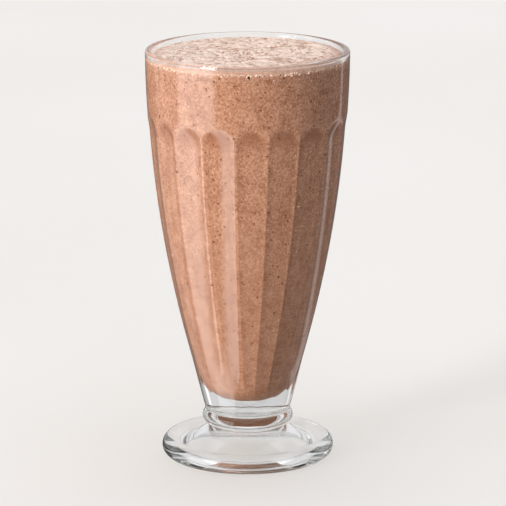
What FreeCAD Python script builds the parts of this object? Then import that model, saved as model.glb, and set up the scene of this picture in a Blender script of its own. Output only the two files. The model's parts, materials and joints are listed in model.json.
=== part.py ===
import FreeCAD, Part
import math
import os
import Sketcher

# A chocolate milkshake in its footed, fluted glass.
# Three pieces: the pressed glass, the shake that fills it, and the froth on top.
# Millimetres and degrees, +Z up, origin at the middle of the foot, on the table.

TOLERANCE = 1e-4
ZERO = 0
HALF_TURN = 180
FULL_TURN = 360.0
CUBIC_MM_PER_ML = 1000

DIMENSIONS = {
    # outside of the glass, from the rim down
    "glass_height": 180.0,
    "rim_radius": 44.05,
    "rim_fillet": 1.1,
    "band_height": 35.0,  # smooth band between the rim and the flutes
    "band_flare": 1.55,
    "band_round": 430.0,
    "bowl_round": 515.0,  # long curve of the bowl, seen from the side
    "taper_radius": 25.4,  # where the long curve turns into a straight taper
    "taper_height": 46.3,
    "bowl_foot_radius": 18.9,
    "bowl_foot_height": 22.6,
    # collar and ring between the bowl and the foot
    "collar_radius": 18.2,
    "collar_top": 22.3,
    "collar_bottom": 20.4,
    "collar_round": 1.15,
    "ring_round": 3.7,
    "neck_radius": 16.9,
    "neck_height": 13.8,
    # foot: a sweep down to a thick bead, hollow underneath
    "foot_radius": 37.5,
    "bead_round": 4.15,
    "bead_turn": 150.5,  # from its widest point up and over to the crease
    "sweep_round": 28.0,
    "land_width": 2.1,
    "land_fillet": 0.8,
    "hollow_height": 15.0,
    "hollow_top_radius": 8.1,  # before its edge is rounded
    "hollow_fillet": 22.0,
    # shallow hollow flutes pressed into the outside of the bowl, turned about the axis
    "flute_count": 18,
    "flute_turn": -7.2,
    "flute_round": 55.0,  # across the flute, at its top
    "flute_bite": 0.25,  # how far the ridges stand below the smooth band
    "flute_sweep": 40.0,
    "arch_height": 10.2,
    "arch_round": 24.0,
    "cutter_clearance": 5.0,
    # inside of the glass
    "wall_at_rim": 2.45,
    "wall_at_band": 3.2,
    "wall_at_taper": 8.0,
    "wall_at_floor": 7.95,
    "base_thickness": 4.8,
    "cavity_round": 441.0,
    "floor_fillet": 6.5,
    # shake and froth
    "fill_below_rim": 3.8,
    "froth_depth": 3.0,
    "froth_crown": 2.0,
    "froth_edge": 1.9,
    "froth_edge_round": 2.2,
}


class Size:
    """A length that knows its number and the sheet expression that gives it."""

    def __init__(self, value, text):
        self.value = value
        self.text = text

    def _join(self, other, sign, value, swap=False):
        text = other.text if isinstance(other, Size) else repr(other)
        left, right = (text, self.text) if swap else (self.text, text)
        return Size(value, f"({left} {sign} {right})")

    def __add__(self, other):
        return self._join(other, "+", self.value + number(other))

    def __sub__(self, other):
        return self._join(other, "-", self.value - number(other))

    def __mul__(self, other):
        return self._join(other, "*", self.value * number(other))

    def __truediv__(self, other):
        return self._join(other, "/", self.value / number(other))

    def __rtruediv__(self, other):
        return self._join(other, "/", number(other) / self.value, swap=True)


def number(size):
    """The plain number of a Size, or of a number."""
    return size.value if isinstance(size, Size) else size


def cosine(angle):
    """Cosine of a Size in degrees."""
    return Size(math.cos(math.radians(angle.value)), f"cos({angle.text} * 1deg)")


def sine(angle):
    """Sine of a Size in degrees."""
    return Size(math.sin(math.radians(angle.value)), f"sin({angle.text} * 1deg)")


def make_sheet(doc):
    """Write the driving dimensions to a sheet and return them as Size values."""
    sheet = doc.addObject("Spreadsheet::Sheet", "Dims")
    sizes = {}
    for row, (name, value) in enumerate(DIMENSIONS.items(), start=1):
        sheet.set(f"A{row}", name)
        sheet.set(f"B{row}", str(value))
        sheet.setAlias(f"B{row}", name)
        sizes[name] = Size(float(value), f"Dims.{name}")
    doc.recompute()
    return sizes


def origin_feature(body, role):
    """The origin plane or axis of a body that plays the given role."""
    return next(item for item in body.Origin.OriginFeatures if item.Role == role)


def arc_centre(start, end, radius):
    """Centre of the arc from start to end that turns left when radius is positive."""
    half = (end - start) * 0.5
    left = FreeCAD.Vector(-half.y, half.x, 0).normalize()
    rise = math.sqrt(radius * radius - half.Length ** 2)
    return start + half + left * math.copysign(rise, radius)


def draw_outline(body, name, corners):
    """Draw a closed outline in the body's XZ plane, each corner bound to the sheet.

    Each corner is (radius, height), which a straight edge leaves, or
    (radius, height, (turn, size)), which an arc of that size leaves, turning left
    where turn is 1 and right where it is -1.
    """
    sketch = body.newObject("Sketcher::SketchObject", name)
    sketch.AttachmentSupport = [(origin_feature(body, "XZ_Plane"), "")]
    sketch.MapMode = "FlatFace"
    points = [FreeCAD.Vector(number(corner[0]), number(corner[1]), 0) for corner in corners]
    ends = []
    arcs = []
    for index, corner in enumerate(corners):
        start = points[index]
        end = points[(index + 1) % len(points)]
        if len(corner) == 2:
            ends.append((sketch.addGeometry(Part.LineSegment(start, end), False), 1, 2))
            continue
        turn, size = corner[2]
        centre = arc_centre(start, end, turn * size.value)
        circle = Part.Circle(centre, FreeCAD.Vector(0, 0, 1), size.value)
        angles = [math.atan2(point.y - centre.y, point.x - centre.x) for point in (start, end)]
        first, last = angles if turn > 0 else reversed(angles)
        edge = sketch.addGeometry(Part.ArcOfCircle(circle, first, last), False)
        ends.append((edge, 1, 2) if turn > 0 else (edge, 2, 1))
        arcs.append((edge, size))
    for index, (edge, _, tail) in enumerate(ends):
        following, head, _ = ends[(index + 1) % len(ends)]
        sketch.addConstraint(Sketcher.Constraint("Coincident", edge, tail, following, head))
    for (edge, head, _), corner in zip(ends, corners):
        for kind, size in (("DistanceX", corner[0]), ("DistanceY", corner[1])):
            bind_place(sketch, kind, edge, head, size)
    for edge, size in arcs:
        row = sketch.addConstraint(Sketcher.Constraint("Radius", edge, size.value))
        sketch.setExpression(f"Constraints[{row}]", size.text)
    return sketch


def bind_place(sketch, kind, edge, head, size):
    """Fix one coordinate of a corner: on the axis or the table, or bound to the sheet."""
    if number(size) == 0:
        line = -2 if kind == "DistanceX" else -1
        sketch.addConstraint(Sketcher.Constraint("PointOnObject", edge, head, line))
        return
    row = sketch.addConstraint(Sketcher.Constraint(kind, edge, head, size.value))
    sketch.setExpression(f"Constraints[{row}]", size.text)


def turned(body, kind, name, sketch):
    """Add a full turn of a sketch about the vertical axis, as a solid or a groove."""
    feature = body.newObject(kind, name)
    feature.Profile = sketch
    feature.ReferenceAxis = (sketch, ["V_Axis"])
    feature.Angle = FULL_TURN
    body.Document.recompute()
    return feature


def round_edges(body, name, radius, wanted):
    """Fillet the circular edges of the body's tip that lie at the wanted places."""
    base = body.Tip
    edges = []
    for index, edge in enumerate(base.Shape.Edges, start=1):
        if edge.Degenerated or not isinstance(edge.Curve, Part.Circle):
            continue
        curve = edge.Curve
        for place_radius, height in wanted:
            level = abs(curve.Center.z - number(height)) < TOLERANCE
            if level and abs(curve.Radius - number(place_radius)) < TOLERANCE:
                edges.append(f"Edge{index}")
    if not edges:
        raise RuntimeError(f"{name}: no edge to round")
    fillet = body.newObject("PartDesign::Fillet", name)
    fillet.Base = (base, edges)
    fillet.setExpression("Radius", radius.text)
    body.Document.recompute()
    return fillet


def floor_corner(dims):
    """Radius and height of the cavity's lower corner, before it is rounded."""
    radius = dims["bowl_foot_radius"] - dims["wall_at_floor"]
    return radius, dims["bowl_foot_height"] + dims["base_thickness"]


def cavity_corners(dims, top):
    """Corners of the space inside the glass, from the floor up to the height top."""
    band_bottom = dims["glass_height"] - dims["band_height"]
    floor_radius, floor = floor_corner(dims)
    return [
        (ZERO, floor),
        (floor_radius, floor),
        (dims["taper_radius"] - dims["wall_at_taper"], dims["taper_height"], (1, dims["cavity_round"])),
        (band_radius(dims), band_bottom),
        (wall_radius(dims, top), top),
        (ZERO, top),
    ]


def band_radius(dims):
    """Inside radius at the bottom of the smooth band."""
    return dims["rim_radius"] - dims["band_flare"] - dims["wall_at_band"]


def wall_radius(dims, height):
    """Inside radius at a height in the smooth band, on a straight line up to the rim."""
    bottom = dims["glass_height"] - dims["band_height"]
    rise = (dims["rim_radius"] - dims["wall_at_rim"] - band_radius(dims)) / dims["band_height"]
    return band_radius(dims) + (height - bottom) * rise


def make_glass(doc, dims):
    """The pressed glass: turned outside, flutes, cavity, and a hollow under the foot."""
    body = doc.addObject("PartDesign::Body", "Glass")
    body.Label = "glass"
    band_bottom = dims["glass_height"] - dims["band_height"]
    shoulder = dims["rim_radius"] - dims["band_flare"]
    bead = dims["bead_round"]
    stand_radius = dims["foot_radius"] - bead
    crease_radius = stand_radius + bead * cosine(dims["bead_turn"])
    crease_height = bead + bead * sine(dims["bead_turn"])
    outside = [
        (ZERO, ZERO),
        (stand_radius, ZERO, (1, bead)),
        (dims["foot_radius"], bead, (1, bead)),
        (crease_radius, crease_height, (-1, dims["sweep_round"])),
        (dims["neck_radius"], dims["neck_height"], (1, dims["ring_round"])),
        (dims["collar_radius"], dims["collar_bottom"], (1, dims["collar_round"])),
        (dims["collar_radius"], dims["collar_top"]),
        (dims["bowl_foot_radius"], dims["bowl_foot_height"]),
        (dims["taper_radius"], dims["taper_height"], (1, dims["bowl_round"])),
        (shoulder, band_bottom, (1, dims["band_round"])),
        (dims["rim_radius"], dims["glass_height"]),
        (ZERO, dims["glass_height"]),
    ]
    turned(body, "PartDesign::Revolution", "GlassBlank", draw_outline(body, "Outside", outside))
    press_flutes(body, dims)
    cavity = draw_outline(body, "CavityOutline", cavity_corners(dims, dims["glass_height"]))
    turned(body, "PartDesign::Groove", "Cavity", cavity)
    hollow_rim = stand_radius - dims["land_width"]
    hollow = [
        (ZERO, ZERO),
        (hollow_rim, ZERO),
        (dims["hollow_top_radius"], dims["hollow_height"]),
        (ZERO, dims["hollow_height"]),
    ]
    turned(body, "PartDesign::Groove", "FootHollow", draw_outline(body, "HollowOutline", hollow))
    hollow_top = [(dims["hollow_top_radius"], dims["hollow_height"])]
    round_edges(body, "HollowFillet", dims["hollow_fillet"], hollow_top)
    round_edges(body, "FloorFillet", dims["floor_fillet"], [floor_corner(dims)])
    lips = [
        (dims["rim_radius"], dims["glass_height"]),
        (dims["rim_radius"] - dims["wall_at_rim"], dims["glass_height"]),
    ]
    round_edges(body, "RimFillet", dims["rim_fillet"], lips)
    round_edges(body, "LandFillet", dims["land_fillet"], [(hollow_rim, ZERO)])
    body.Placement = FreeCAD.Placement(
        FreeCAD.Vector(0, 0, 0), FreeCAD.Vector(0, 0, 1), dims["flute_turn"].value
    )
    return body


def flute_floor(dims, ridge_radius):
    """Radius at the middle of a flute whose ridges stand at ridge_radius, less the bite."""
    half_flute = HALF_TURN / dims["flute_count"]
    half_width = ridge_radius * sine(half_flute)
    dip = half_width * half_width / (dims["flute_round"] * 2)
    return ridge_radius * cosine(half_flute) - dip - dims["flute_bite"]


def press_flutes(body, dims):
    """Cut one hollow flute that follows the bowl and ends in an arch, then repeat it.

    The cutter is turned about an upright axis that stands clear of the glass.
    """
    doc = body.Document
    band_bottom = dims["glass_height"] - dims["band_height"]
    shoulder = flute_floor(dims, dims["rim_radius"] - dims["band_flare"])
    foot = flute_floor(dims, dims["bowl_foot_radius"])
    outer = dims["rim_radius"] + dims["cutter_clearance"]
    arch_top = band_bottom + dims["arch_height"]
    corners = [
        (foot, dims["collar_top"]),
        (outer, dims["collar_top"]),
        (outer, arch_top),
        (dims["rim_radius"], arch_top, (1, dims["arch_round"])),
        (shoulder, band_bottom, (-1, dims["bowl_round"])),
        (flute_floor(dims, dims["taper_radius"]), dims["taper_height"]),
        (foot, dims["bowl_foot_height"]),
    ]
    sketch = draw_outline(body, "FluteOutline", corners)
    add_turning_axis(sketch, shoulder + dims["flute_round"])
    whole = body.Shape.Volume
    cut = body.newObject("PartDesign::Groove", "Flute")
    cut.Profile = sketch
    cut.ReferenceAxis = (sketch, ["Axis0"])
    cut.Midplane = True
    cut.setExpression("Angle", dims["flute_sweep"].text)
    doc.recompute()
    single = whole - body.Shape.Volume
    if single < TOLERANCE:
        raise RuntimeError("the flute cuts nothing")
    pattern = body.newObject("PartDesign::PolarPattern", "Flutes")
    pattern.Originals = [cut]
    pattern.Axis = (origin_feature(body, "Z_Axis"), [""])
    pattern.Angle = FULL_TURN
    pattern.setExpression("Occurrences", dims["flute_count"].text)
    body.Tip = pattern
    doc.recompute()
    flutes = (whole - body.Shape.Volume) / single
    if abs(flutes - dims["flute_count"].value) > 1:
        raise RuntimeError(f"the flutes cut {flutes:.2f} times one flute")


def add_turning_axis(sketch, place):
    """Add an upright construction line at the given distance from the glass's axis."""
    low = FreeCAD.Vector(place.value, 0, 0)
    high = FreeCAD.Vector(place.value, 1, 0)
    line = sketch.addGeometry(Part.LineSegment(low, high), True)
    for end in (1, 2):
        bind_place(sketch, "DistanceX", line, end, place)
    sketch.addConstraint(Sketcher.Constraint("PointOnObject", line, 1, -1))
    sketch.addConstraint(Sketcher.Constraint("DistanceY", line, 2, 1.0))


def make_milkshake(doc, dims):
    """The shake: all of the cavity up to the underside of the froth."""
    body = doc.addObject("PartDesign::Body", "Milkshake")
    body.Label = "milkshake"
    level = dims["glass_height"] - dims["fill_below_rim"] - dims["froth_depth"]
    outline = draw_outline(body, "ShakeOutline", cavity_corners(dims, level))
    turned(body, "PartDesign::Revolution", "ShakeFill", outline)
    round_edges(body, "ShakeFillet", dims["floor_fillet"], [floor_corner(dims)])
    return body


def make_froth(doc, dims):
    """The froth: a pale layer that meets the wall and stands a little higher inside."""
    body = doc.addObject("PartDesign::Body", "Froth")
    body.Label = "froth"
    contact = dims["glass_height"] - dims["fill_below_rim"]
    bottom = contact - dims["froth_depth"]
    crown = contact + dims["froth_crown"]
    edge = wall_radius(dims, contact)
    corners = [
        (ZERO, bottom),
        (wall_radius(dims, bottom), bottom),
        (edge, contact, (1, dims["froth_edge_round"])),
        (edge - dims["froth_edge"], crown),
        (ZERO, crown),
    ]
    turned(body, "PartDesign::Revolution", "FrothLayer", draw_outline(body, "FrothOutline", corners))
    return body


def check_and_write(doc, bodies):
    """Refuse any failed object or bad shape, then write each piece to its own file."""
    doc.recompute()
    for item in doc.Objects:
        if "Invalid" in item.State or "Error" in item.State:
            raise RuntimeError(f"{item.Name} failed: {item.State}")
    for body in bodies:
        if body.Shape.isNull() or not body.Shape.isValid() or len(body.Shape.Solids) != 1:
            raise RuntimeError(f"{body.Label} is not one valid solid")
    os.makedirs("parts", exist_ok=True)
    for body in bodies:
        body.Shape.exportStep(f"parts/{body.Label}.step")
        print(f"{body.Label}: {body.Shape.Volume / CUBIC_MM_PER_ML:.2f} ml")


def main():
    """Build the sheet and the three pieces, and write them."""
    doc = FreeCAD.newDocument("Milkshake")
    dims = make_sheet(doc)
    bodies = [make_glass(doc, dims), make_milkshake(doc, dims), make_froth(doc, dims)]
    check_and_write(doc, bodies)


main()
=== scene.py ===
"""A chocolate milkshake in its footed, fluted glass, standing on a pale table.

The glass is turned from one outline and its flutes are pressed in as a soft minimum
of surfaces.  The shake fills the cavity, a froth with folds and pits lies on top, and
cocoa specks and air bubbles sit against the wall.  All lengths are in metres.
"""
import json
import logging
import math
from dataclasses import dataclass
from enum import Enum

import bpy
import numpy as np
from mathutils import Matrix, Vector

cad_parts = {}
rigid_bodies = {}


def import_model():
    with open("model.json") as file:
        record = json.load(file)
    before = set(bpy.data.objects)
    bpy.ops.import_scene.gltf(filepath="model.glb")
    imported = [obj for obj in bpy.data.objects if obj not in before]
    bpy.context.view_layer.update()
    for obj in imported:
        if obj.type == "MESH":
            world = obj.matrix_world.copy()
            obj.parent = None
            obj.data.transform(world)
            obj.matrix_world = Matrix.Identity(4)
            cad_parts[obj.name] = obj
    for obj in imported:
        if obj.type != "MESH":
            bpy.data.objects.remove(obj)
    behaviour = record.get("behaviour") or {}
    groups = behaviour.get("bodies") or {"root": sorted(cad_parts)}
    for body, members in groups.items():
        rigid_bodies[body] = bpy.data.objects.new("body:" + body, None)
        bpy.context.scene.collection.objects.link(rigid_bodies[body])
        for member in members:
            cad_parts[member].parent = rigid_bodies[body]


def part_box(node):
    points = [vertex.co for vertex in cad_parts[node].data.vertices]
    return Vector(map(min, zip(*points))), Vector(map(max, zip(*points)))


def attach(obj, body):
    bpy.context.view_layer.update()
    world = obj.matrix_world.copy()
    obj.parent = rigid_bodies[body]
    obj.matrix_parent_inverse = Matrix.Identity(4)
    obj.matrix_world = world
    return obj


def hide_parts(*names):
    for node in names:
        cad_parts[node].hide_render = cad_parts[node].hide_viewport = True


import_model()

Array = np.ndarray
Tint = tuple[float, float, float, float]
MM = 0.001
ROOT_BODY = "root"
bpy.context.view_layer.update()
GLASS_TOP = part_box("glass")[1].z
FROTH_LOW, FROTH_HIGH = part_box("froth")
SHAKE_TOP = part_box("milkshake")[1].z
SAFE_POWER = 60.0
TINY = 1e-300
LIGHT_BOUNCES = {"max_bounces": 24, "glossy_bounces": 10, "transmission_bounces": 24}
log = logging.getLogger("milkshake")


# ---------------------------------------------------------------- outlines and grids


def line(start: tuple[float, float], end: tuple[float, float], count: int = 40) -> Array:
    """Points evenly spaced on a straight run.

    Args:
        start: first (radius, height).
        end: last (radius, height).
        count: how many points.

    Returns:
        An array of (radius, height) rows.
    """
    share = np.linspace(0.0, 1.0, count)[:, None]
    return np.asarray(start) * (1.0 - share) + np.asarray(end) * share


def arc(start: tuple[float, float], end: tuple[float, float], radius: float, count: int = 60) -> Array:
    """Points on a circular arc: the centre lies off the chord's middle, square to it.

    Args:
        start: first (radius, height).
        end: last (radius, height).
        radius: of the arc; positive turns left on the way, negative turns right.
        count: how many points.

    Returns:
        An array of (radius, height) rows.
    """
    first, last = np.asarray(start, float), np.asarray(end, float)
    half = (last - first) / 2.0
    left = np.array([-half[1], half[0]]) / np.hypot(*half)
    rise = math.sqrt(radius * radius - half @ half)
    centre = first + half + left * math.copysign(rise, radius)
    begin = math.atan2(*(first - centre)[::-1])
    sweep = 2.0 * math.asin(np.hypot(*half) / abs(radius)) * math.copysign(1.0, radius)
    angle = begin + np.linspace(0.0, sweep, count)
    return centre + abs(radius) * np.column_stack([np.cos(angle), np.sin(angle)])


def joined(*runs: Array) -> Array:
    """Runs end to end as one outline, without the doubled corners."""
    return np.vstack([runs[0]] + [run[1:] for run in runs[1:]])


@dataclass(frozen=True)
class Sampling:
    """How an outline becomes rows: corners are softened, and bends get more rows."""

    rows: int
    soften: float = 0.22 * MM
    fine_step: float = 0.05 * MM
    long_step: float = 4.5 * MM
    turn_step: float = math.radians(5.0)

    def rows_of(self, outline: Array, extra: Array | None = None) -> Array:
        """Resample an outline.

        The outline is walked in fine steps and averaged over a short bell-shaped window,
        which rounds each corner.  Rows are then spread evenly over the sum of distance
        per long_step and turning per turn_step.

        Args:
            outline: (radius, height) rows.
            extra: two heights between which rows are four times as dense.

        Returns:
            self.rows rows of (radius, height), with the same first and last point.
        """
        legs = np.hypot(*np.diff(outline, axis=0).T)
        walked = np.concatenate([[0.0], np.cumsum(legs)])
        fine = np.arange(0.0, walked[-1], self.fine_step)
        path = np.column_stack([np.interp(fine, walked, outline[:, k]) for k in (0, 1)])
        reach = max(1, int(3 * self.soften / self.fine_step))
        window = np.exp(-0.5 * (np.arange(-reach, reach + 1) * self.fine_step / self.soften) ** 2)
        window /= window.sum()
        padded = np.vstack([2 * path[0] - path[reach:0:-1], path, 2 * path[-1] - path[-2:-reach - 2:-1]])
        path = np.column_stack([np.convolve(padded[:, k], window, "valid") for k in (0, 1)])
        path[0], path[-1] = outline[0], outline[-1]
        steps = np.diff(path, axis=0)
        heading = np.unwrap(np.arctan2(steps[:, 1], steps[:, 0]))
        turning = np.abs(np.diff(heading, prepend=heading[0]))
        weight = np.hypot(*steps.T) / self.long_step + turning / self.turn_step
        if extra is not None:
            middle = path[:-1, 1]
            weight[(middle > extra[0]) & (middle < extra[1])] *= 4.0
        measure = np.concatenate([[0.0], np.cumsum(weight)])
        wanted = np.linspace(0.0, measure[-1], self.rows)
        return np.column_stack([np.interp(wanted, measure, path[:, k]) for k in (0, 1)])


def ring_angles(count: int) -> Array:
    """Evenly spaced angles round the axis, from the +X side, without the closing one."""
    return np.arange(count) * (2.0 * math.pi / count)


def turned_mesh(name: str, radius: Array, height: Array, angle: Array) -> bpy.types.Object:
    """Close a grid of rings into a solid of revolution and make it an object.

    Each inner row is a ring of points (radius cos, radius sin, height).  The first and
    last rows are single points on the axis, joined to their rings by triangles.

    Args:
        name: of the object.
        radius: rows by columns; its first and last rows are ignored.
        height: the same shape.
        angle: one angle for each column.

    Returns:
        The new object, at the origin, with smooth faces that point outwards.
    """
    count = len(angle)
    rings = slice(1, -1)
    x = radius[rings] * np.cos(angle)
    y = radius[rings] * np.sin(angle)
    inner = np.stack([x, y, height[rings]], axis=-1).reshape(-1, 3)
    low = [[0.0, 0.0, height[0].mean()]]
    high = [[0.0, 0.0, height[-1].mean()]]
    points = np.vstack([low, inner, high])
    here = np.arange(count)
    there = (here + 1) % count
    base = 1 + count * np.arange(len(radius) - 3)[:, None]
    quads = np.stack([base + here, base + there, base + count + there, base + count + here], axis=-1)
    last_ring = 1 + count * (len(radius) - 3)
    first_fan = np.stack([np.zeros_like(here), 1 + there, 1 + here], axis=-1)
    last_fan = np.stack([last_ring + here, last_ring + there, np.full_like(here, len(points) - 1)], axis=-1)
    return mesh_object(name, points, quads.reshape(-1, 4), np.vstack([first_fan, last_fan]))


def mesh_object(name: str, points: Array, quads: Array, triangles: Array) -> bpy.types.Object:
    """Put points, quads and triangles into a mesh with foreach_set.

    Args:
        name: of the object and its mesh.
        points: N by 3, metres.
        quads: point numbers, M by 4, may be empty.
        triangles: point numbers, K by 3, may be empty.

    Returns:
        The new object, linked to the scene, with smooth faces.
    """
    corners = np.concatenate([quads.ravel(), triangles.ravel()]).astype(np.int32)
    totals = np.concatenate([np.full(len(quads), 4), np.full(len(triangles), 3)]).astype(np.int32)
    starts = np.concatenate([[0], np.cumsum(totals)[:-1]]).astype(np.int32)
    mesh = bpy.data.meshes.new(name)
    mesh.vertices.add(len(points))
    mesh.vertices.foreach_set("co", points.astype(np.float32).ravel())
    mesh.loops.add(len(corners))
    mesh.loops.foreach_set("vertex_index", corners)
    mesh.polygons.add(len(totals))
    mesh.polygons.foreach_set("loop_start", starts)
    mesh.polygons.foreach_set("loop_total", totals)
    mesh.update(calc_edges=True)
    mesh.polygons.foreach_set("use_smooth", np.ones(len(totals), bool))
    mesh.validate()
    piece = bpy.data.objects.new(name, mesh)
    bpy.context.scene.collection.objects.link(piece)
    return piece


def store(piece: bpy.types.Object, name: str, grid: Array) -> None:
    """Keep a value of every ring point as an attribute, with a mean value at each pole.

    Args:
        piece: an object from turned_mesh.
        name: of the attribute.
        grid: rows by columns, as the radius that the mesh was made from.
    """
    values = np.concatenate([[grid[0].mean()], grid[1:-1].ravel(), [grid[-1].mean()]])
    layer = piece.data.attributes.new(name, "FLOAT", "POINT")
    layer.data.foreach_set("value", values.astype(np.float32))


def lattice_noise(points: Array, cell: float, seed: int) -> Array:
    """Smooth noise between about -1 and 1, made of random slopes on a square lattice.

    Each lattice corner has a random direction.  A point takes the dot product of its
    offset from each of the four corners round it with that corner's direction, blended
    with the curve 6t^5 - 15t^4 + 10t^3.

    Args:
        points: (..., 2) positions.
        cell: lattice spacing.
        seed: of the random directions.

    Returns:
        One value for each point.
    """
    table = 256
    turn = np.random.default_rng(seed).uniform(0.0, 2.0 * math.pi, (table, table))
    place = points / cell
    corner = np.floor(place).astype(int)
    part = place - corner
    blend = part ** 3 * (part * (part * 6.0 - 15.0) + 10.0)

    def slope(dx: int, dy: int) -> Array:
        """Dot product with the direction of one corner."""
        way = turn[(corner[..., 0] + dx) % table, (corner[..., 1] + dy) % table]
        return np.cos(way) * (part[..., 0] - dx) + np.sin(way) * (part[..., 1] - dy)

    low = slope(0, 0) * (1 - blend[..., 0]) + slope(1, 0) * blend[..., 0]
    high = slope(0, 1) * (1 - blend[..., 0]) + slope(1, 1) * blend[..., 0]
    return 1.5 * (low * (1 - blend[..., 1]) + high * blend[..., 1])


def smooth_step(low: float, high: float, value: Array) -> Array:
    """0 below low, 1 above high, and the curve 3t^2 - 2t^3 between."""
    share = np.clip((value - low) / (high - low), 0.0, 1.0)
    return share * share * (3.0 - 2.0 * share)


# ---------------------------------------------------------------- shader expressions


class Shade:
    """A socket, or a plain number, that builds Math nodes when used in an expression."""

    def __init__(self, graph: "Graph", socket: bpy.types.NodeSocket | float) -> None:
        """Wrap a socket of a graph."""
        self.graph = graph
        self.socket = socket

    def _math(self, operation: str, *values: "Shade | float") -> "Shade":
        """One Math node on the given values."""
        return self.graph.node("ShaderNodeMath", {"operation": operation}, dict(enumerate(values)))

    def __add__(self, other: "Shade | float") -> "Shade":
        """Sum."""
        return self._math("ADD", self, other)

    def __radd__(self, other: float) -> "Shade":
        """Sum with a number on the left."""
        return self._math("ADD", other, self)

    def __sub__(self, other: "Shade | float") -> "Shade":
        """Difference."""
        return self._math("SUBTRACT", self, other)

    def __rsub__(self, other: float) -> "Shade":
        """Difference from a number."""
        return self._math("SUBTRACT", other, self)

    def __mul__(self, other: "Shade | float") -> "Shade":
        """Product."""
        return self._math("MULTIPLY", self, other)

    def __rmul__(self, other: float) -> "Shade":
        """Product with a number on the left."""
        return self._math("MULTIPLY", other, self)

    def angle_from(self, other: "Shade") -> "Shade":
        """Angle whose tangent is this value over the other one, in radians."""
        return self._math("ARCTAN2", self, other)

    def ramp(self, low: float, high: float) -> "Shade":
        """0 below low and 1 above high, with a smooth step between."""
        inputs = {"Value": self, "From Min": low, "From Max": high}
        return self.graph.node("ShaderNodeMapRange", {"interpolation_type": "SMOOTHSTEP"}, inputs)


class Graph:
    """The node tree of one material or world, cleared and then filled by expressions."""

    def __init__(self, owner: bpy.types.Material | bpy.types.World) -> None:
        """Start an empty tree on its owner.

        Args:
            owner: the material or world that keeps the tree.
        """
        owner.use_nodes = True
        self.tree = owner.node_tree
        self.tree.nodes.clear()

    def node(
        self, kind: str, settings: dict[str, object], inputs: dict[str | int, object], output: str | int = 0
    ) -> Shade:
        """Add any node: its settings first, then the values or links of its sockets.

        Args:
            kind: Blender's name for the node type.
            settings: properties such as operation or blend_type.
            inputs: socket name or number to a value or a Shade.
            output: the output to return.

        Returns:
            The wanted output.
        """
        made = self.tree.nodes.new(kind)
        for key, value in settings.items():
            setattr(made, key, value)
        for key, value in inputs.items():
            if isinstance(value, Shade):
                self.tree.links.new(value.socket, made.inputs[key])
            else:
                made.inputs[key].default_value = value
        return Shade(self, made.outputs[output])

    def place(self) -> Shade:
        """Object coordinates, which are the row's own metres."""
        return self.node("ShaderNodeTexCoord", {}, {}, "Object")

    def parts(self, vector: Shade) -> tuple[Shade, Shade, Shade]:
        """The three parts of a vector."""
        first = self.node("ShaderNodeSeparateXYZ", {}, {0: vector})
        return tuple(Shade(self, socket) for socket in first.socket.node.outputs)

    def height(self) -> Shade:
        """Height above the table."""
        return self.parts(self.place())[2]

    def stored(self, name: str) -> Shade:
        """A value that the mesh keeps for each of its points."""
        return self.node("ShaderNodeAttribute", {"attribute_name": name}, {}, "Fac")

    def noise(self, cell: float, detail: float = 2.0, rough: float = 0.5, warp: float = 0.0) -> Shade:
        """Cloudy noise between 0 and 1.

        Args:
            cell: size of the largest clouds, in metres.
            detail: how many finer layers are added.
            rough: weight of each layer against the one before.
            warp: how far the noise pushes itself about.

        Returns:
            The noise's value.
        """
        inputs = {"Vector": self.place(), "Scale": 1.0 / cell, "Detail": detail,
                  "Roughness": rough, "Distortion": warp}
        return self.node("ShaderNodeTexNoise", {}, inputs)

    def cells(self, cell: float) -> Shade:
        """Distance to the nearest of scattered points, in cells of the given size."""
        inputs = {"Vector": self.place(), "Scale": 1.0 / cell}
        return self.node("ShaderNodeTexVoronoi", {"feature": "F1"}, inputs, "Distance")

    def mix(self, share: Shade | float, low: "Shade | Tint", high: "Shade | Tint") -> Shade:
        """Blend two colours.

        Args:
            share: 0 for all low, 1 for all high.
            low: the first colour.
            high: the second colour.

        Returns:
            The blended colour.
        """
        made = self.tree.nodes.new("ShaderNodeMix")
        made.data_type = "RGBA"
        for name, value in (("Factor_Float", share), ("A_Color", low), ("B_Color", high)):
            socket = next(item for item in made.inputs if item.identifier == name)
            if isinstance(value, Shade):
                self.tree.links.new(value.socket, socket)
            else:
                socket.default_value = value
        result = next(item for item in made.outputs if item.identifier == "Result_Color")
        return Shade(self, result)

    def finish(self, shader: Shade, world: bool = False, socket: str = "Surface") -> None:
        """Send a shader to the tree's one output node, which is added if there is none.

        Args:
            shader: what goes out.
            world: whether this is a world's tree.
            socket: Surface or Volume.
        """
        kind = "ShaderNodeOutputWorld" if world else "ShaderNodeOutputMaterial"
        sinks = [item for item in self.tree.nodes if item.bl_idname == kind]
        sink = sinks[0] if sinks else self.tree.nodes.new(kind)
        self.tree.links.new(shader.socket, sink.inputs[socket])


def linear(value: float) -> float:
    """One channel of light from its screen value of 0 to 255, by the sRGB curve."""
    share = value / 255.0
    return share / 12.92 if share <= 0.04045 else ((share + 0.055) / 1.055) ** 2.4


def colour(red: float, green: float, blue: float) -> Tint:
    """A linear colour with full alpha from screen values of 0 to 255."""
    return (linear(red), linear(green), linear(blue), 1.0)


class Slot(Enum):
    """Material slots of the record; each kind of fleck keeps one, though its finish is its own."""

    GLASS = "glass"
    SHAKE = "milkshake"
    FROTH = "froth"


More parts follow.
